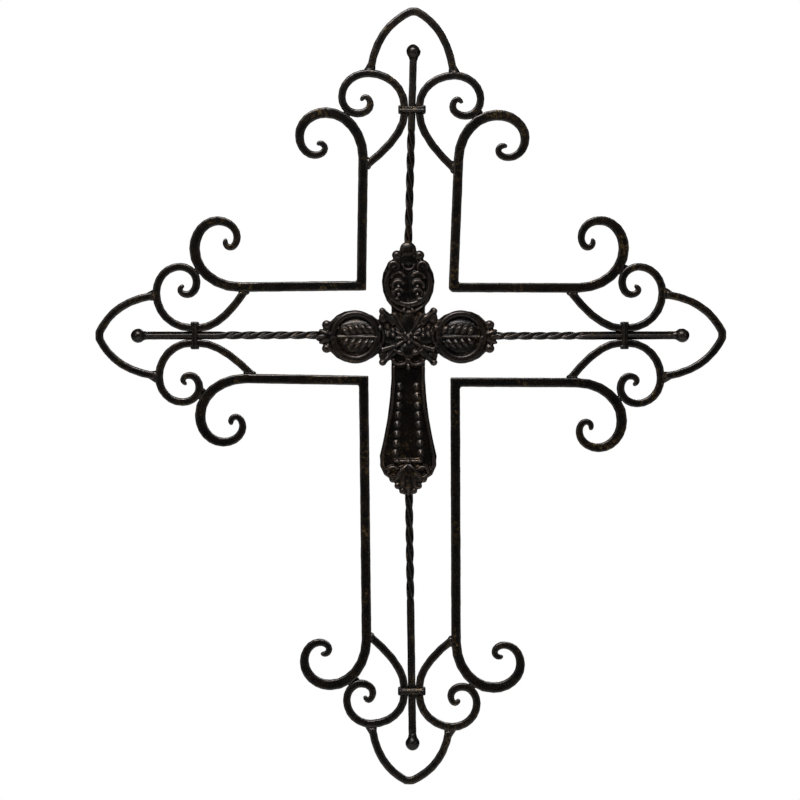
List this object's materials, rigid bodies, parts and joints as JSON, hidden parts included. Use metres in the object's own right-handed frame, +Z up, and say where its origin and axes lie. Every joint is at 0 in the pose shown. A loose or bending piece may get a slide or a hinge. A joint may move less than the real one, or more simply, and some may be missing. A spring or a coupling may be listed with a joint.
{
  "type": "wall cross",
  "caption": "Wrought iron wall cross of forged square bar with scrolled ends, twisted rods, pointed arches and a cast relief medallion.",
  "frame": {"origin": "the hanging seat: middle of the small flat on the underside of the top arch's apex, where a nail or hook bears", "axes": "+Z up along the cross's upright, +X to the viewer's right along its beam, +Y into the wall; the medallion faces -Y"},
  "size_m": [0.6931, 0.0218, 0.8539],
  "materials": {
    "forged_bar": "blackened brown, waxed, with faint gold and olive mottling",
    "cast_medallion": "blackened brown with raised parts rubbed brighter"
  },
  "bodies": {
    "root": {"rod_top": "forged_bar", "ball_top": "forged_bar", "collar_top": "forged_bar", "arch_top": "forged_bar", "scroll_top_left": "forged_bar", "scroll_top_right": "forged_bar", "frame_upper_right": "forged_bar", "rod_right": "forged_bar", "ball_right": "forged_bar", "collar_right": "forged_bar", "arch_right": "forged_bar", "scroll_right_upper": "forged_bar", "scroll_right_lower": "forged_bar", "frame_lower_right": "forged_bar", "rod_bottom": "forged_bar", "ball_bottom": "forged_bar", "collar_bottom": "forged_bar", "arch_bottom": "forged_bar", "scroll_bottom_right": "forged_bar", "scroll_bottom_left": "forged_bar", "frame_lower_left": "forged_bar", "rod_left": "forged_bar", "ball_left": "forged_bar", "collar_left": "forged_bar", "arch_left": "forged_bar", "scroll_left_lower": "forged_bar", "scroll_left_upper": "forged_bar", "frame_upper_left": "forged_bar", "medallion": "cast_medallion"}
  },
  "joints": []
}
